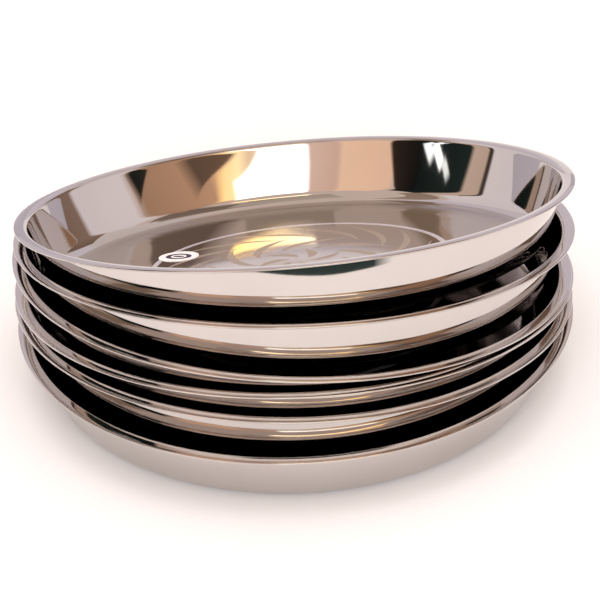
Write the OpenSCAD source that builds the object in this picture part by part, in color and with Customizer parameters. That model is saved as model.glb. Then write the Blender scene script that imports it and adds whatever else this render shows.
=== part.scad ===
// A stack of six round stainless steel thali plates, nested the way they were set down.
// Each plate is one pressed sheet: flat floor, rounded corner, bowed wall, flat lip and folded hem.
// A small round label is stuck to every floor. Millimetres, +Z up, origin under the bottom plate's centre.

/* [Plate] */
// Diameter over the rim's edge
rim_d = 300; // [240:1:360]
// Height from the underside to the top of the rim
plate_h = 34.3; // [30:0.1:40]
// Thickness of the steel sheet
sheet = 0.5; // [0.4:0.05:0.6]
// Lean of the wall under the lip, in degrees from upright
wall_lean = 18; // [14:0.5:20]
// Lean of the wall at the corner, in degrees from upright
foot_lean = 22; // [21:0.5:28]
// Outside radius of the corner between the floor and the wall
corner_r = 11; // [5:0.5:13]

/* [Rim] */
// Top radius of the bend that turns the wall out into the lip
bend_r = 2.5; // [1.5:0.25:4]
// Width of the flat lip outside the bend
lip_w = 5; // [4.25:0.25:8]
// Thickness of the folded hem at the edge
hem_t = 1.2; // [1.2:0.1:1.8]
// Width of the fold under the lip
hem_w = 3; // [2:0.25:4]

/* [Label] */
// Diameter of the round label
label_d = 22; // [12:1:30]
// Thickness of the label
label_t = 0.2; // [0.1:0.05:0.4]
// Distance of the label's middle from the floor's middle
label_out = 72; // [30:1:85]
// Direction of the label, in degrees anticlockwise from +X
label_turn = 155; // [0:1:360]

/* [Stack] */
// Room between a rim and the rim that it rests on
seat_gap = 0.3; // [0.2:0.05:0.6]
// Room between the walls of two nested plates
wall_gap = 0.3; // [0.2:0.05:0.6]
// Place of a tilted plate between the wall at its low side, 0, and at its raised side, 1
slide = 0.2; // [0.1:0.02:0.8]
// Tilt of the second plate on the bottom one, in degrees
tilt_2 = 4.6; // [1:0.1:8]
// Direction of the second plate's raised side
raised_2 = -109; // [-180:1:180]
// Tilt of the third plate on the second, in degrees
tilt_3 = 2.6; // [1:0.1:8]
// Direction of the third plate's raised side
raised_3 = -68; // [-180:1:180]
// Tilt of the fourth plate on the third, in degrees
tilt_4 = 3.3; // [1:0.1:8]
// Direction of the fourth plate's raised side
raised_4 = 170; // [-180:1:180]
// Tilt of the fifth plate on the fourth, in degrees
tilt_5 = 5.9; // [1:0.1:8]
// Direction of the fifth plate's raised side
raised_5 = -60; // [-180:1:180]
// Tilt of the top plate on the fifth, in degrees
tilt_6 = 6.3; // [1:0.1:8]
// Direction of the top plate's raised side
raised_6 = -58; // [-180:1:180]

/* [Hidden] */
$fn = 96;
steel = "#c9c3bd";
paper = "#f1eff2";
tilts = [0, tilt_2, tilt_3, tilt_4, tilt_5, tilt_6];
raised = [0, raised_2, raised_3, raised_4, raised_5, raised_6];

rim_r = rim_d / 2;
// Centre of the bend's arc, and the wall's outer face where the bend starts
bend_x = rim_r - lip_w;
bend_z = plate_h - bend_r;
under_r = bend_r - sheet;
wall_top_x = bend_x - under_r * cos(wall_lean);
wall_top_z = bend_z + under_r * sin(wall_lean);
// The wall's outer face is an arc that leaves the bend and meets the corner without a crease
wall_foot_z = corner_r - corner_r * sin(foot_lean);
wall_r = (wall_top_z - wall_foot_z) / (sin(foot_lean) - sin(wall_lean));
wall_centre = [wall_top_x, wall_top_z] + wall_r * [-cos(wall_lean), sin(wall_lean)];
wall_foot_x = wall_centre[0] + wall_r * cos(foot_lean);
// Sides of the wall's large circle, which is drawn finer than the small arcs
wall_fn = 720;
// Lean of the straight line between the wall's two ends
mean_lean = atan((wall_top_x - wall_foot_x) / (wall_top_z - wall_foot_z));
// Centre of the corner's arc
corner_x = wall_foot_x - corner_r * cos(foot_lean);
// Centre of the hem's rounded edge
hem_x = rim_r - hem_t / 2;
// Depths of the wall's two ends below the rim
bend_drop = plate_h - wall_top_z;
foot_drop = plate_h - wall_foot_z;

// Shift of a tilted plate towards its raised side, where half the way leaves the same room at both walls
function shift(tilt) = slide * sin(tilt) * (rim_d * tan(mean_lean) - foot_drop - bend_drop);
// Least rise that keeps the walls apart at the low side, under the bend, and at the raised side, at the foot
wall_room = wall_gap + sheet / cos(mean_lean);
function low_rise(tilt) = (wall_room - shift(tilt) - bend_drop * sin(tilt)) / tan(mean_lean);
function high_rise(tilt) =
    (wall_room + shift(tilt) + foot_drop * sin(tilt)) / tan(mean_lean) - rim_d * sin(tilt);
// Rise of a plate at its low side: its hem lies on the rim below, or a wall holds it higher
function rise(tilt) = max(hem_t + seat_gap, low_rise(tilt), high_rise(tilt));

// Area of the half section that lies inside the plate's outer face moved in by skin
module inside(skin, top) {
    wall_top = [bend_x, bend_z] + (under_r + skin) * [-cos(wall_lean), sin(wall_lean)];
    past_foot = [corner_x, corner_r] + (corner_r + bend_r) * [cos(foot_lean), -sin(foot_lean)];
    difference() {
        union() {
            translate([0, skin]) square([corner_x, top - skin]);
            translate([corner_x, corner_r]) circle(corner_r - skin);
            intersection() {
                translate(wall_centre) circle(wall_r - skin, $fn = wall_fn);
                polygon([[0, corner_r], [corner_x, corner_r], past_foot, [bend_x, bend_z], wall_top,
                         [0, wall_top[1]]]);
            }
            polygon([[0, wall_top[1]], wall_top, [bend_x, bend_z], [hem_x, bend_z], [hem_x, top], [0, top]]);
        }
        translate([bend_x, bend_z]) circle(under_r + skin);
        translate([bend_x, bend_z]) square([rim_r, under_r + skin]);
    }
}

// Half section of the sheet, in the plane of the plate's axis, with the edge folded under the lip
module section() {
    difference() {
        inside(0, plate_h);
        inside(sheet, plate_h + sheet);
    }
    translate([rim_r - hem_w, plate_h - hem_t]) square([hem_x - rim_r + hem_w, hem_t - sheet / 2]);
    translate([hem_x, plate_h - hem_t / 2]) circle(hem_t / 2);
}

// One step up the stack: the plate turns about the low point of the rim below and rises to its seat
module step_up(tilt, towards) {
    outward = [cos(towards), sin(towards), 0];
    low = [0, 0, plate_h] - rim_r * outward;
    translate(low + shift(tilt) * outward + [0, 0, rise(tilt)])
        rotate(tilt, [outward[1], -outward[0], 0])
            translate(-low) children();
}

// Places its children in the frame of the numbered plate, counted from the bottom
module in_stack(number) {
    if (number == 1) children();
    else in_stack(number - 1) step_up(tilts[number - 1], raised[number - 1]) children();
}

module plate(number) {
    color(steel) in_stack(number) rotate_extrude() section();
}

module label(number) {
    color(paper) in_stack(number)
        translate([label_out * cos(label_turn), label_out * sin(label_turn), sheet])
            cylinder(h = label_t, d = label_d);
}

plate(1);  // plate_1
plate(2);  // plate_2
plate(3);  // plate_3
plate(4);  // plate_4
plate(5);  // plate_5
plate(6);  // plate_6
label(1);  // label_1
label(2);  // label_2
label(3);  // label_3
label(4);  // label_4
label(5);  // label_5
label(6);  // label_6
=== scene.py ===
import math

import bpy
import numpy as np
from mathutils import Matrix


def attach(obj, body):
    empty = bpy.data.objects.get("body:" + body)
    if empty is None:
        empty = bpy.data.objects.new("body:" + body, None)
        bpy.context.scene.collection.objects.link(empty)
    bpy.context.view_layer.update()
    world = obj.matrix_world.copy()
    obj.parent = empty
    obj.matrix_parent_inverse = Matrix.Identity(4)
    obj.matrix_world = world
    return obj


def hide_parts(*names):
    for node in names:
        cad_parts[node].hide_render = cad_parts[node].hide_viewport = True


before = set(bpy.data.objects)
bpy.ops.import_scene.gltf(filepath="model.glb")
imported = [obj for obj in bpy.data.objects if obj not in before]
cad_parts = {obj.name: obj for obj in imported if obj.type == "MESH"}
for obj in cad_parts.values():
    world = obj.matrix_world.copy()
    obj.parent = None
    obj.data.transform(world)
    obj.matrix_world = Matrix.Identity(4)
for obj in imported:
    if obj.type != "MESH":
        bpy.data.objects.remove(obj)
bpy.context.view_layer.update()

# The camera. It looks down on the stack from the front with a long lens, rolled by a few degrees.
# Its directions are those at which the six rims fall where the photograph shows them.
camera_place = (0.0, -1.7092, 1.0732)
camera_right = (0.9991, -0.0236, -0.0363)
camera_up = (0.0433, 0.5167, 0.855)
camera_back = (-0.0014, -0.8558, 0.5173)
image_px = 600
focal_px = 3695.7
sensor_mm = 36.0
farthest = 50.0

lens = bpy.data.cameras.new("camera")
lens.sensor_width = sensor_mm
lens.lens = focal_px / image_px * sensor_mm
lens.clip_end = farthest
camera = bpy.data.objects.new("camera", lens)
turn = Matrix((camera_right, camera_up, camera_back)).transposed().to_4x4()
camera.matrix_world = Matrix.Translation(camera_place) @ turn
bpy.context.scene.collection.objects.link(camera)
bpy.context.scene.camera = camera
bpy.context.scene.view_settings.view_transform = "Standard"


# The plates. Each is one round blank of stainless steel sheet, pressed into a floor, a corner, a bowed wall
# and a lip whose edge is folded under as a hem. It is buffed to a mirror on a lathe, and a ring and leaves
# are etched into the floor. The plates only lie in one another.
mm = 0.001
rim_r = 150 * mm
plate_h = 34.3 * mm
sheet = 0.5 * mm
corner_r = 11 * mm
bend_r = 2.5 * mm
lip_w = 5 * mm
hem_t = 1.2 * mm
hem_w = 3 * mm
# Radius of the hem's inner edge, where the sheet ends
fold_r = 0.2 * mm
# Lean of the wall under the lip and at the corner, in degrees from upright
wall_lean = 18
foot_lean = 22
# Radius of the crown on the lip's outer half, and its fall at the hem in degrees
lip_r = 12 * mm
lip_turn = 10.5
round_steps = 384
plate_bodies = ["bottom_plate", "second_plate", "third_plate", "fourth_plate", "fifth_plate", "top_plate"]


def cad_points(node):
    """The corners of a node's solid in the frame, as rows of x, y and z."""
    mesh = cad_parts[node].data
    points = np.empty(len(mesh.vertices) * 3)
    mesh.vertices.foreach_get("co", points)
    return points.reshape(-1, 3)


def round_middle(points, side, along):
    """Middle of a round solid seen along its axis: halfway between its outermost points, then the middle of
    the circle that lies closest to the points of its edge, by least squares."""
    edge_band = 0.1 * mm
    flat = np.stack([points @ side, points @ along], 1)
    middle = (flat.min(0) + flat.max(0)) / 2
    reach = np.linalg.norm(flat - middle, axis=1)
    edge = flat[reach > reach.max() - edge_band]
    rows = np.column_stack([2 * edge, np.ones(len(edge))])
    return np.linalg.lstsq(rows, (edge ** 2).sum(1), rcond=None)[0][:2]


def plate_seat(node, label_node):
    """Middle of a plate's underside and its three axes, found from its solid. Its largest flat face is the
    floor, whose normal is the plate's own upright; the rim's edge gives the middle, and the first axis
    points at the label."""
    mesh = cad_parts[node].data
    area = np.empty(len(mesh.polygons))
    mesh.polygons.foreach_get("area", area)
    up = np.array(mesh.polygons[int(area.argmax())].normal)
    up *= np.sign(up[2]) / np.linalg.norm(up)
    side = np.cross((0, 1, 0), up)
    side /= np.linalg.norm(side)
    along = np.cross(up, side)
    points = cad_points(node)
    centre = round_middle(points, side, along)
    middle = centre[0] * side + centre[1] * along + (points @ up).min() * up
    across = round_middle(cad_points(label_node), side, along) - centre
    first = (across[0] * side + across[1] * along) / np.linalg.norm(across)
    return middle, np.stack([first, np.cross(up, first), up])


def arc(centre_x, centre_z, radius, start, stop, steps):
    """Points on an arc of the half section, from one angle to another in degrees."""
    angle = np.radians(np.linspace(start, stop, steps))
    return np.stack([centre_x + radius * np.cos(angle), centre_z + radius * np.sin(angle)], 1)


def line(start, stop, steps):
    """Points between two points of the half section, without the ends. The first and the last lie close to
    the ends, so that the straight run stays straight to the eye up to the arcs that it joins."""
    end_gap = 0.15 * mm
    start, stop = np.array(start), np.array(stop)
    close = end_gap / np.linalg.norm(stop - start)
    share = np.linspace(close, 1 - close, steps)[:, None]
    return start * (1 - share) + stop * share


def plate_section():
    """The closed half section of the sheet, from the axis along the underside, round the hem and back along
    the top to the axis. Its floor is straight; the corner, the wall, the bend, the lip's outer half and the
    hem's edge are arcs that run into one another. The wall leans by wall_lean degrees under the lip and by
    foot_lean at the corner, and the lip falls away to lip_turn degrees at the hem."""
    wall_rows = 26
    lean, foot, fall = math.radians(wall_lean), math.radians(foot_lean), math.radians(lip_turn)
    under_r = bend_r - sheet
    bend_x = rim_r - lip_w
    bend_z = plate_h - bend_r
    wall_top_x = bend_x - under_r * math.cos(lean)
    wall_top_z = bend_z + under_r * math.sin(lean)
    wall_foot_z = corner_r - corner_r * math.sin(foot)
    wall_r = (wall_top_z - wall_foot_z) / (math.sin(foot) - math.sin(lean))
    wall_x = wall_top_x - wall_r * math.cos(lean)
    wall_z = wall_top_z + wall_r * math.sin(lean)
    corner_x = wall_x + (wall_r - corner_r) * math.cos(foot)
    hem_x = rim_r - hem_t / 2
    lip_x = hem_x - (lip_r - hem_t / 2) * math.sin(fall)
    hem_z = plate_h - lip_r + (lip_r - hem_t / 2) * math.cos(fall)
    fold_x = rim_r - hem_w
    under_corner = arc(corner_x, corner_r, corner_r, -90, -foot_lean, steps=16)
    under_wall = arc(wall_x, wall_z, wall_r, -foot_lean, -wall_lean, steps=wall_rows)[1:-1]
    under_bend = arc(bend_x, bend_z, under_r, 180 - wall_lean, 90, steps=12)
    under_lip = (fold_x, plate_h - sheet)
    fold = arc(fold_x + fold_r, plate_h - hem_t + fold_r, fold_r, 180, 270, steps=5)
    edge = arc(hem_x, hem_z, hem_t / 2, -90, 90 - lip_turn, steps=14)
    top_lip = arc(lip_x, plate_h - lip_r, lip_r, 90 - lip_turn, 90, steps=7)[1:]
    top_bend = arc(bend_x, bend_z, bend_r, 90, 180 - wall_lean, steps=14)
    top_wall = arc(wall_x, wall_z, wall_r - sheet, -wall_lean, -foot_lean, steps=wall_rows)[1:-1]
    top_corner = arc(corner_x, corner_r, corner_r - sheet, -foot_lean, -90, steps=18)
    return np.vstack([
        line((0, 0), under_corner[0], steps=7)[1:], under_corner, under_wall, under_bend,
        line(under_bend[-1], under_lip, steps=3), [under_lip], fold, line(fold[-1], edge[0], steps=3), edge,
        top_lip, line(top_lip[-1], top_bend[0], steps=3), top_bend, top_wall, top_corner,
        line(top_corner[-1], (0, sheet), steps=9)[:-1],
    ])


def turned_mesh(name, section, steps, half_width, middle, axes):
    """A half section carried round its axis in equal steps. Its two ends close on the axis with a fan of
    triangles. The UV map named plan is the piece's plan, 0 to 1 across its width. The second result is the
    number of the point at each corner of each face."""
    rows = len(section)
    angle = np.arange(steps) * 2 * np.pi / steps
    x = np.outer(section[:, 0], np.cos(angle)).ravel()
    y = np.outer(section[:, 0], np.sin(angle)).ravel()
    z = np.repeat(section[:, 1], steps)
    poles = [[0, 0, section[0, 1]], [0, 0, section[-1, 1]]]
    local = np.vstack([np.stack([x, y, z], 1), poles])
    ring = np.arange(steps)
    after = (ring + 1) % steps
    step = (np.arange(rows - 1) * steps)[:, None]
    quads = np.stack([step + ring, step + after, step + steps + after, step + steps + ring], 2)
    last = (rows - 1) * steps
    below = rows * steps
    bottom_fan = np.stack([np.full(steps, below), after, ring], 1)
    top_fan = np.stack([np.full(steps, below + 1), last + ring, last + after], 1)
    faces = quads.reshape(-1, 4).tolist() + bottom_fan.tolist() + top_fan.tolist()
    mesh = bpy.data.meshes.new(name)
    mesh.from_pydata((middle + local @ axes).tolist(), [], faces)
    mesh.shade_smooth()
    corner = np.empty(len(mesh.loops), dtype=np.int32)
    mesh.loops.foreach_get("vertex_index", corner)
    plan = mesh.uv_layers.new(name="plan")
    plan_uv = local[corner, :2] / (2 * half_width) + 0.5
    plan.data.foreach_set("uv", plan_uv.astype(np.float32).ravel())
    return mesh, corner


def plate_mesh(name, middle, axes):
    """The plate's half section turned round its axis. A second UV map, named sweep, holds the way round from
    0 to 1 and the way along the section in rim diameters."""
    section = plate_section()
    mesh, corner = turned_mesh(name, section, round_steps, rim_r, middle, axes)
    length = np.concatenate([[0], np.cumsum(np.linalg.norm(np.diff(section, axis=0), axis=1))])
    along = np.concatenate([np.repeat(length, round_steps), [0, length[-1]]]) / (2 * rim_r)
    turned = np.concatenate([np.tile(np.arange(round_steps) / round_steps, len(section)), [0, 0]])
    sweep = mesh.uv_layers.new(name="sweep")
    sweep_uv = np.stack([turned[corner], along[corner]], 1)
    sweep.data.foreach_set("uv", sweep_uv.astype(np.float32).ravel())
    return mesh


def linear(colour, alpha=1.0):
    """An sRGB hex colour as linear red, green and blue."""
    parts = [int(colour[i:i + 2], 16) / 255 for i in (1, 3, 5)]
    return [c / 12.92 if c <= 0.04045 else ((c + 0.055) / 1.055) ** 2.4 for c in parts] + [alpha]


def add(tree, kind, links=None, **settings):
    """Adds a node. Settings are the node's own, or a socket's value where the name starts with in_ and a
    number; links join a socket of the new node, by name or number, to the output of another."""
    node = tree.nodes.new(kind)
    for name, value in settings.items():
        if name.startswith("in_"):
            node.inputs[int(name[3:])].default_value = value
        else:
            setattr(node, name, value)
    for socket, output in (links or {}).items():
        tree.links.new(output, node.inputs[socket])
    return node


# Radius and width of the etched ring in mm
ring_r = 79
ring_w = 3.0
# Rows of etched leaves: inner and outer radius in mm, leaves in the row, turn from root to tip in radians,
# half width in mm. A leaf's edge is as soft as leaf_edge in mm.
leaf_rows = [(46, 75, 13, -0.95, 4.6), (22, 51, 9, 1.1, 4.6), (5, 25, 6, -0.9, 3.4)]
leaf_edge = 0.8
# Share of the metal's mirror that the etching takes away
leaf_dull = 0.25
ring_dull = 0.45
# Sizes in mm of the stains, the smears from buffing and the waves from the press, and the waves' height
stain_size = 45
smear_size = 16
wave_size = 38
wave_h = 0.3
# Slope of the floor's sag, the radius of its round middle and the radius where it ends, in mm
sag_slope = 0.024
sag_r = 15
sag_reach = 108
# The lip's two edges and the height of its crown in mm
lip_from = 145
lip_to = 149.4
lip_crown = 0.12
# Radii in mm between which the floor's buffing turns into the wall's, and the roughness of the two
buff_from = 118
buff_to = 128
floor_rough = 0.07
wall_rough = 0.03
# Middle and half width in mm of the satin band at the corner, and the roughness that it adds
corner_middle = 118
corner_half = 11
satin_rough = 0.15
# Roughness that the smears and the etching add
smear_rough = 0.02
etched_rough = 0.22
# Way along the section, in rim diameters, past which the sheet's upper face lies
upper_from = 0.55


def polished_steel():
    """Stainless steel sheet buffed on a lathe: a clear and slightly warm mirror with a slow waviness from
    the press, a slight sag of the floor and a slight crown of the lip. The floor and the corner are buffed
    less than the wall, so their mirror is softer. The ring and the leaves are etched: the acid leaves them
    paler or browner and matt. All lengths are in millimetres on the plate's own plan."""
    material = bpy.data.materials.new("polished_stainless_steel")
    material.use_nodes = True
    tree = material.node_tree
    shader = tree.nodes["Principled BSDF"]

    plan = add(tree, "ShaderNodeUVMap", uv_map="plan")
    centred = add(tree, "ShaderNodeVectorMath", {0: plan.outputs[0]},
                  operation="SUBTRACT", in_1=(0.5, 0.5, 0))
    spot = add(tree, "ShaderNodeVectorMath", {0: centred.outputs[0]},
               operation="SCALE", in_3=2 * rim_r / mm)
    reach = add(tree, "ShaderNodeVectorMath", {0: spot.outputs[0]}, operation="LENGTH").outputs["Value"]
    part = add(tree, "ShaderNodeSeparateXYZ", {0: spot.outputs[0]})
    bearing = add(tree, "ShaderNodeMath", {0: part.outputs["Y"], 1: part.outputs["X"]}, operation="ARCTAN2")
    sweep = add(tree, "ShaderNodeUVMap", uv_map="sweep")
    way = add(tree, "ShaderNodeSeparateXYZ", {0: sweep.outputs[0]})
    upper = add(tree, "ShaderNodeMath", {0: way.outputs["Y"]}, operation="GREATER_THAN", in_1=upper_from)

    leaves = None
    for inner, outer, count, turn, half_width in leaf_rows:
        grown = add(tree, "ShaderNodeMapRange", {0: reach}, in_1=inner, in_2=outer)
        swung = add(tree, "ShaderNodeMath", {0: grown.outputs[0], 2: bearing.outputs[0]},
                    operation="MULTIPLY_ADD", in_1=turn)
        nearest = add(tree, "ShaderNodeMath", {0: swung.outputs[0]}, operation="WRAP",
                      in_1=-math.pi / count, in_2=math.pi / count)
        aside = add(tree, "ShaderNodeMath", {0: nearest.outputs[0]}, operation="ABSOLUTE")
        away = add(tree, "ShaderNodeMath", {0: aside.outputs[0], 1: reach}, operation="MULTIPLY")
        swell = add(tree, "ShaderNodeMath", {0: grown.outputs[0]}, operation="MULTIPLY", in_1=math.pi)
        bulge = add(tree, "ShaderNodeMath", {0: swell.outputs[0]}, operation="SINE")
        within = add(tree, "ShaderNodeMath", {0: bulge.outputs[0]}, operation="MULTIPLY", in_1=half_width)
        inside = add(tree, "ShaderNodeMath", {0: within.outputs[0], 1: away.outputs[0]},
                     operation="SUBTRACT")
        leaf = add(tree, "ShaderNodeMapRange", {0: inside.outputs[0]}, in_1=0.0, in_2=leaf_edge).outputs[0]
        if leaves is None:
            leaves = leaf
        else:
            leaves = add(tree, "ShaderNodeMath", {0: leaves, 1: leaf}, operation="MAXIMUM").outputs[0]
    leaves = add(tree, "ShaderNodeMath", {0: leaves, 1: upper.outputs[0]}, operation="MULTIPLY").outputs[0]
    band = add(tree, "ShaderNodeMath", {0: reach}, operation="COMPARE", in_1=ring_r, in_2=ring_w / 2)
    ring = add(tree, "ShaderNodeMath", {0: band.outputs[0], 1: upper.outputs[0]},
               operation="MULTIPLY").outputs[0]

    place = add(tree, "ShaderNodeTexCoord").outputs["Object"]
    stain = add(tree, "ShaderNodeTexNoise", {0: place}, in_2=1 / (stain_size * mm), in_3=2.0)
    tint = add(tree, "ShaderNodeMix", {0: stain.outputs[0]}, data_type="RGBA",
               in_6=linear("#c8c2be"), in_7=linear("#d2ccc9"))
    leafed = add(tree, "ShaderNodeMix", {0: leaves, 6: tint.outputs[2]}, data_type="RGBA",
                 in_7=linear("#b9a792"))
    ringed = add(tree, "ShaderNodeMix", {0: ring, 6: leafed.outputs[2]}, data_type="RGBA",
                 in_7=linear("#dcd6dc"))
    tree.links.new(ringed.outputs[2], shader.inputs["Base Color"])
    dulled = add(tree, "ShaderNodeMath", {0: leaves}, operation="MULTIPLY", in_1=leaf_dull)
    frosted = add(tree, "ShaderNodeMath", {0: ring, 2: dulled.outputs[0]},
                  operation="MULTIPLY_ADD", in_1=ring_dull)
    bare = add(tree, "ShaderNodeMath", {1: frosted.outputs[0]}, operation="SUBTRACT", in_0=1.0)
    tree.links.new(bare.outputs[0], shader.inputs["Metallic"])

    buffed = add(tree, "ShaderNodeMapRange", {0: reach},
                 in_1=buff_from, in_2=buff_to, in_3=floor_rough, in_4=wall_rough)
    smear = add(tree, "ShaderNodeTexNoise", {0: place}, in_2=1 / (smear_size * mm), in_3=3.0)
    touched = add(tree, "ShaderNodeMath", {0: smear.outputs[0], 2: buffed.outputs[0]},
                  operation="MULTIPLY_ADD", in_1=smear_rough)
    off_corner = add(tree, "ShaderNodeMath", {0: reach}, operation="SUBTRACT", in_1=corner_middle)
    off_size = add(tree, "ShaderNodeMath", {0: off_corner.outputs[0]}, operation="ABSOLUTE")
    satin = add(tree, "ShaderNodeMapRange", {0: off_size.outputs[0]},
                in_1=0.0, in_2=corner_half, in_3=satin_rough, in_4=0.0)
    worn = add(tree, "ShaderNodeMath", {0: touched.outputs[0], 1: satin.outputs[0]}, operation="ADD")
    etched = add(tree, "ShaderNodeMath", {0: leaves, 1: ring}, operation="MAXIMUM")
    matt = add(tree, "ShaderNodeMath", {0: etched.outputs[0], 2: worn.outputs[0]},
               operation="MULTIPLY_ADD", in_1=etched_rough)
    tree.links.new(matt.outputs[0], shader.inputs["Roughness"])

    wave = add(tree, "ShaderNodeTexNoise", {0: place}, in_2=1 / (wave_size * mm), in_3=0.0)
    rippled = add(tree, "ShaderNodeMath", {0: wave.outputs[0]}, operation="MULTIPLY", in_1=wave_h)
    inner = add(tree, "ShaderNodeMath", {0: reach}, operation="MINIMUM", in_1=sag_reach)
    square = add(tree, "ShaderNodeMath", {0: inner.outputs[0], 1: inner.outputs[0]},
                 operation="MULTIPLY_ADD", in_2=sag_r ** 2)
    slant = add(tree, "ShaderNodeMath", {0: square.outputs[0]}, operation="SQRT")
    sagged = add(tree, "ShaderNodeMath", {0: slant.outputs[0], 2: rippled.outputs[0]},
                 operation="MULTIPLY_ADD", in_1=sag_slope)
    over_lip = add(tree, "ShaderNodeMapRange", {0: reach}, in_1=lip_from, in_2=lip_to, in_3=-1.0, in_4=1.0)
    lip_square = add(tree, "ShaderNodeMath", {0: over_lip.outputs[0], 1: over_lip.outputs[0]},
                     operation="MULTIPLY")
    rounded = add(tree, "ShaderNodeMath", {0: lip_square.outputs[0], 2: sagged.outputs[0]},
                  operation="MULTIPLY_ADD", in_1=-lip_crown)
    bent = add(tree, "ShaderNodeBump", {"Height": rounded.outputs[0]}, in_0=1.0, in_1=mm)
    tree.links.new(bent.outputs[0], shader.inputs["Normal"])
    return material


steel = polished_steel()
seats = []
for number, body in enumerate(plate_bodies, start=1):
    middle, axes = plate_seat(f"plate_{number}", f"label_{number}")
    seats.append((middle, axes))
    name = f"pressed_plate_{number}"
    plate = bpy.data.objects.new(name, plate_mesh(name, middle, axes))
    bpy.context.scene.collection.objects.link(plate)
    plate.data.materials.append(steel)
    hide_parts(f"plate_{number}")
    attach(plate, body)


# The labels. Each is a round sticker of white coated paper, cut by a die and stuck to the plate's floor.
# Its print is a plain oval ring round a plain oval spot.
label_r = 11 * mm
label_t = 0.2 * mm
label_edge_r = 0.08 * mm
label_steps = 96
# Half lengths and half widths in mm of the ring and the spot, and the width of the ring's line
print_half = (7.4, 5.8)
print_line = 2.3
spot_half = (3.4, 1.5)
# Size of the paper's fibre and height of its tooth in mm, coarser than real ones so that they show
fibre_size = 0.6
tooth_h = 0.02


def label_mesh(name, middle, axes):
    """A disc: a half section with a rounded upper edge turned round the label's own axis."""
    inner_r = label_r / 2
    flat_r = 0.97 * label_r
    edge = arc(label_r - label_edge_r, label_t - label_edge_r, label_edge_r, 0, 90, steps=5)
    section = np.vstack([[(inner_r, 0), (label_r, 0)], edge, [(flat_r, label_t), (inner_r, label_t)]])
    return turned_mesh(name, section, label_steps, label_r, middle, axes)[0]


def printed_paper():
    """White coated paper with a slight gloss and a faint fibre, printed with violet-black ink. The oval is
    where the squares of x and y over the half axes add up to 1."""
    material = bpy.data.materials.new("coated_paper")
    material.use_nodes = True
    tree = material.node_tree
    shader = tree.nodes["Principled BSDF"]
    shader.inputs["Roughness"].default_value = 0.38
    plan = add(tree, "ShaderNodeUVMap", uv_map="plan")
    centred = add(tree, "ShaderNodeVectorMath", {0: plan.outputs[0]},
                  operation="SUBTRACT", in_1=(0.5, 0.5, 0))
    inked = []
    for half, low, high in ((print_half, 1 - print_line / print_half[1], 1.0), (spot_half, -1.0, 1.0)):
        across = (2 * label_r / mm / half[0], 2 * label_r / mm / half[1], 0)
        shrunk = add(tree, "ShaderNodeVectorMath", {0: centred.outputs[0]},
                     operation="MULTIPLY", in_1=across)
        oval = add(tree, "ShaderNodeVectorMath", {0: shrunk.outputs[0]}, operation="LENGTH").outputs["Value"]
        inked.append(add(tree, "ShaderNodeMath", {0: oval}, operation="COMPARE",
                         in_1=(low + high) / 2, in_2=(high - low) / 2).outputs[0])
    ink = add(tree, "ShaderNodeMath", {0: inked[0], 1: inked[1]}, operation="MAXIMUM")
    place = add(tree, "ShaderNodeTexCoord").outputs["Object"]
    fibre = add(tree, "ShaderNodeTexNoise", {0: place}, in_2=1 / (fibre_size * mm), in_3=3.0)
    paper = add(tree, "ShaderNodeMix", {0: fibre.outputs[0]}, data_type="RGBA",
                in_6=linear("#f3eef0"), in_7=linear("#fdfafb"))
    printed = add(tree, "ShaderNodeMix", {0: ink.outputs[0], 6: paper.outputs[2]}, data_type="RGBA",
                  in_7=linear("#2b1c36"))
    tree.links.new(printed.outputs[2], shader.inputs["Base Color"])
    tooth = add(tree, "ShaderNodeBump", {"Height": fibre.outputs[0]}, in_0=0.4, in_1=tooth_h * mm)
    tree.links.new(tooth.outputs[0], shader.inputs["Normal"])
    return material


paper = printed_paper()
for number, body in enumerate(plate_bodies, start=1):
    middle, axes = seats[number - 1]
    first, up = axes[0], axes[2]
    out = (cad_points(f"label_{number}") - middle) @ first
    label_middle = middle + (out.min() + out.max()) / 2 * first + sheet * up
    name = f"stick_on_label_{number}"
    label = bpy.data.objects.new(name, label_mesh(name, label_middle, axes))
    bpy.context.scene.collection.objects.link(label)
    label.data.materials.append(paper)
    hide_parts(f"label_{number}")
    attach(label, body)


# The floor and the light. The stack stands on a plain pale table under one large soft light, with a fill
# light in front. Cards stand round it and hang over it as in a studio for polished metal: only gloss sees
# them, so the steel's mirror shows them.
floor_reach = 6.0
floor_mesh = bpy.data.meshes.new("floor")
floor_mesh.from_pydata([(-floor_reach, -floor_reach, 0), (floor_reach, -floor_reach, 0),
                        (floor_reach, floor_reach, 0), (-floor_reach, floor_reach, 0)], [], [(0, 1, 2, 3)])
floor = bpy.data.objects.new("floor", floor_mesh)
bpy.context.scene.collection.objects.link(floor)
table = bpy.data.materials.new("pale_table")
table.use_nodes = True
table_sockets = table.node_tree.nodes["Principled BSDF"].inputs
table_sockets["Base Color"].default_value = linear("#ebeaea")
table_sockets["Roughness"].default_value = 0.9
table_sockets["Specular IOR Level"].default_value = 0.0
floor_mesh.materials.append(table)

world = bpy.data.worlds.new("room")
world.use_nodes = True
world_sockets = world.node_tree.nodes["Background"].inputs
world_sockets["Color"].default_value = linear("#e0cbc0")
world_sockets["Strength"].default_value = 1.08
bpy.context.scene.world = world

softbox = bpy.data.lights.new("softbox", "AREA")
softbox.shape = "SQUARE"
softbox.size = 4.0
softbox.energy = 88
softbox_lamp = bpy.data.objects.new("softbox", softbox)
softbox_lamp.location = (0, 0, 3.2)
softbox_lamp.visible_camera = False
softbox_lamp.visible_glossy = False
bpy.context.scene.collection.objects.link(softbox_lamp)

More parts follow.
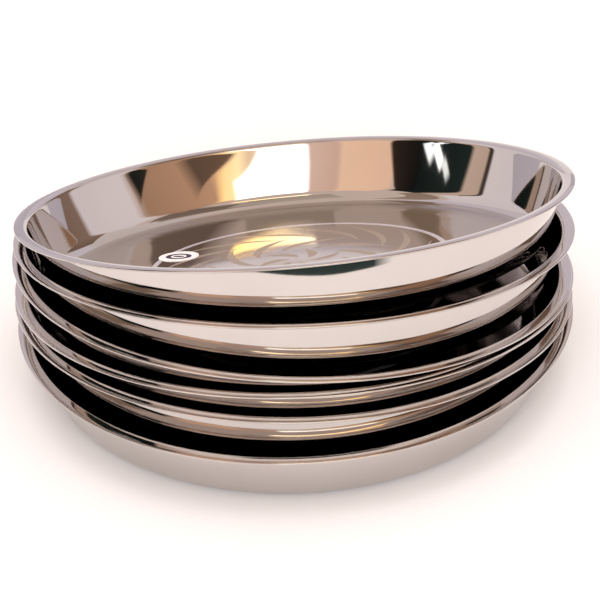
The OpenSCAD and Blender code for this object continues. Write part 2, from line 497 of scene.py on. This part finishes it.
fill = bpy.data.lights.new("front_fill", "AREA")
fill.shape = "RECTANGLE"
fill.size = 3.0
fill.size_y = 1.2
fill.energy = 62
fill.color = (0.9, 0.96, 1.0)
fill_lamp = bpy.data.objects.new("front_fill", fill)
fill_lamp.location = (0, -2.6, 1.0)
fill_lamp.rotation_euler = (math.radians(68), 0, 0)
fill_lamp.visible_camera = False
fill_lamp.visible_glossy = False
bpy.context.scene.collection.objects.link(fill_lamp)

# Upright cards: azimuths of the two sides at the foot and at the head, counted in degrees from the front
# towards +X, heights of the foot and the head in degrees, share of the width over which a side fades,
# colours of the two sides, strength. Each stands nearer than the one before by card_step in metres.
first_card = 4.0
card_step = 0.03
card_points = 16
cards = [
    ("card_back", (140, 220), (140, 220), (0, 44), 0.1, ("#d6ccd4", "#d6ccd4"), 1.15),
    ("card_pale_left", (-145, -100), (-145, -100), (0, 40), 0.0, ("#ddd3d6", "#e6dcdc"), 1.25),
    ("card_beige", (-105, -88), (-105, -88), (0, 44), 0.05, ("#d2b8a5", "#d9c0b0"), 1.1),
    ("card_brown_left", (-156, -86), (-156, -86), (43, 54), 0.1, ("#a08b7b", "#98826f"), 1.2),
    ("card_pale_right", (88, 124), (88, 124), (0, 40), 0.0, ("#e8dcdc", "#ded4d6"), 1.25),
    ("card_brown_high", (66, 140), (58, 180), (46, 75), 0.2, ("#857165", "#937f73"), 1.0),
    ("card_grey_right", (116, 168), (120, 168), (22, 52), 0.1, ("#d0c4c0", "#c8bcb8"), 1.3),
    ("card_brown_right", (118, 145), (118, 145), (0, 23), 0.1, ("#9c8171", "#7d6557"), 1.0),
    ("card_amber", (-14, 66), (-14, 66), (27, 53), 0.0, ("#fff2d6", "#e8a468"), 1.4),
    ("card_tan", (42, 91), (42, 91), (14, 53), 0.12, ("#d9aa88", "#b08a70"), 1.12),
    ("card_pink", (-36, -11), (-34, -10), (30, 53), 0.0, ("#d6b3a0", "#e4c3b2"), 1.33),
    ("card_peach", (-60, -28), (-62, -27), (24, 53), 0.1, ("#eec6aa", "#f8d0b2"), 1.35),
    ("card_dark_left", (-97, -58), (-91, -64), (0, 46), 0.05, ("#26302d", "#161817"), 1.0),
    ("card_dark_point", (-72, -46), (-72, -63), (25, 38.5), 0.12, ("#161817", "#3d3028"), 1.0),
    ("card_streak_1", (-77, -70), (-76, -69), (23.8, 25.6), 0.25, ("#ffffff", "#e0ecec"), 2.0),
    ("card_streak_2", (-82.5, -75), (-81.5, -74), (22.2, 23.9), 0.2, ("#ffffff", "#ffffff"), 2.6),
    ("card_streak_3", (-87, -81), (-86, -80), (21.6, 23.0), 0.3, ("#dfe8e6", "#ffffff"), 1.6),
    ("card_edge_left", (-106.5, -103), (-106.5, -103), (0, 30), 0.3, ("#4d3f37", "#4d3f37"), 1.0),
    ("card_shade", (30, 66), (24, 60), (26, 40.6), 0.22, ("#8a6a54", "#6a564a"), 1.0),
    ("card_yellow", (22, 44), (26, 56), (41, 49), 0.3, ("#fff0c0", "#ffd184"), 1.8),
    ("card_white_low", (-12, 9), (-12, 36), (41, 44.2), 0.06, ("#ffffff", "#fff6e2"), 3.0),
    ("card_white_high", (-12, 36), (-12, 42), (44.1, 53), 0.06, ("#ffffff", "#fff6e2"), 3.0),
    ("card_spot", (-2, 9), (-2, 9), (39.5, 41.8), 0.2, ("#5b514b", "#5b514b"), 1.0),
    ("card_dark_right", (66, 92), (72, 88), (10, 27.5), 0.15, ("#3a342e", "#1c201f"), 1.0),
    ("card_low", (-58, 58), (-58, 58), (0, 15), 0.15, ("#fff0e8", "#fff0e8"), 1.5),
]
# Level cards on the table or overhead: two opposite corners and the height in metres, colours at the near
# and the far edge
level_cards = [
    ("card_sweep", (-3.5, 0.3), (3.5, 3.5), 0.002, ("#d2c8d0", "#c6bec8")),
    ("card_sheen", (-0.17, 0.3), (0.3, 2.4), 0.004, ("#fff4f0", "#f8ecf0")),
    ("card_ceiling", (-1.4, -1.4), (1.4, 1.4), 5.2, ("#c2b0a0", "#ccbcb0")),
]


def card_mesh(name, first, last, lengthwise):
    """A strip between two rows of points. Its UV map runs from 0 to 1 along the rows, or across from the
    first to the last where lengthwise is set; its second value stays 0.5 there, so that the sides don't
    fade."""
    count = len(first)
    step = np.arange(count - 1)
    mesh = bpy.data.meshes.new(name)
    mesh.from_pydata(np.vstack([first, last]).tolist(), [],
                     np.stack([step, step + 1, step + count + 1, step + count], 1).tolist())
    along = np.tile(np.linspace(0, 1, count), 2)
    over = np.repeat([0.0, 1.0], count)
    corner = np.empty(len(mesh.loops), dtype=np.int32)
    mesh.loops.foreach_get("vertex_index", corner)
    blend, side = (over, 0 * over + 0.5) if lengthwise else (along, along)
    mesh.uv_layers.new(name="blend").data.foreach_set(
        "uv", np.stack([blend[corner], side[corner]], 1).astype(np.float32).ravel())
    return mesh


def hang_card(name, mesh, fade, colours, strength):
    """A card that glows in a blend of two colours, is gauzy at its sides and shows in gloss alone."""
    card = bpy.data.objects.new(name, mesh)
    bpy.context.scene.collection.objects.link(card)
    paint = bpy.data.materials.new(name)
    paint.use_nodes = True
    tree = paint.node_tree
    tree.nodes.remove(tree.nodes["Principled BSDF"])
    blend = add(tree, "ShaderNodeUVMap", uv_map="blend")
    share = add(tree, "ShaderNodeSeparateXYZ", {0: blend.outputs[0]})
    colour = add(tree, "ShaderNodeMix", {0: share.outputs["X"]}, data_type="RGBA",
                 in_6=linear(colours[0]), in_7=linear(colours[1]))
    glow = add(tree, "ShaderNodeEmission", {0: colour.outputs[2]}, in_1=strength)
    solid = glow.outputs[0]
    if fade > 0:
        inward = add(tree, "ShaderNodeMath", {0: share.outputs["Y"]}, operation="PINGPONG", in_1=0.5)
        cover = add(tree, "ShaderNodeMapRange", {0: inward.outputs[0]}, in_1=0.0, in_2=fade)
        clear = add(tree, "ShaderNodeBsdfTransparent")
        solid = add(tree, "ShaderNodeMixShader",
                    {0: cover.outputs[0], 1: clear.outputs[0], 2: solid}).outputs[0]
    tree.links.new(solid, tree.nodes["Material Output"].inputs["Surface"])
    card.data.materials.append(paint)
    card.visible_camera = False
    card.visible_diffuse = False
    card.visible_shadow = False


def card_edge(distance, sides, height):
    """Points on a circle round the stack at a height in degrees seen from the middle of the stack's foot."""
    azimuth = np.radians(np.linspace(*sides, card_points))
    lift = np.full(card_points, distance * math.tan(math.radians(height)))
    return np.stack([distance * np.sin(azimuth), -distance * np.cos(azimuth), lift], 1)


# A dark card lies on the table in front as part of a ring round the stack: its two radii in metres, the
# azimuths of its sides in degrees, and its lift off the table in metres
slate_reach = (0.325, 0.6)
slate_sides = (-24, 34)
slate_lift = (0, 0, 0.002)
slate_edges = [card_edge(reach, slate_sides, 0) + slate_lift for reach in slate_reach]
hang_card("card_slate", card_mesh("card_slate", *slate_edges, False), 0.12, ("#3b4744", "#3b4744"), 1.0)

for order, (name, foot, head, heights, fade, colours, strength) in enumerate(cards):
    distance = first_card - order * card_step
    foot_edge = card_edge(distance, foot, heights[0])
    head_edge = card_edge(distance, head, heights[1])
    hang_card(name, card_mesh(name, foot_edge, head_edge, False), fade, colours, strength)
for name, low, high, height, colours in level_cards:
    near_edge = [(low[0], low[1], height), (high[0], low[1], height)]
    far_edge = [(low[0], high[1], height), (high[0], high[1], height)]
    hang_card(name, card_mesh(name, near_edge, far_edge, True), 0.0, colours, 1.0)

# A straight gold bar hangs overhead in front, turned a little: the two ends of its outer and its inner edge
# in metres
gold_outer = [(-0.66, -1.425, 4.0), (1.76, -1.085, 4.0)]
gold_inner = [(-0.58, -1.235, 4.0), (1.53, -0.94, 4.0)]
gold_mesh = card_mesh("card_gold", gold_outer, gold_inner, False)
hang_card("card_gold", gold_mesh, 0.06, ("#fff3cd", "#ffd27c"), 4.6)
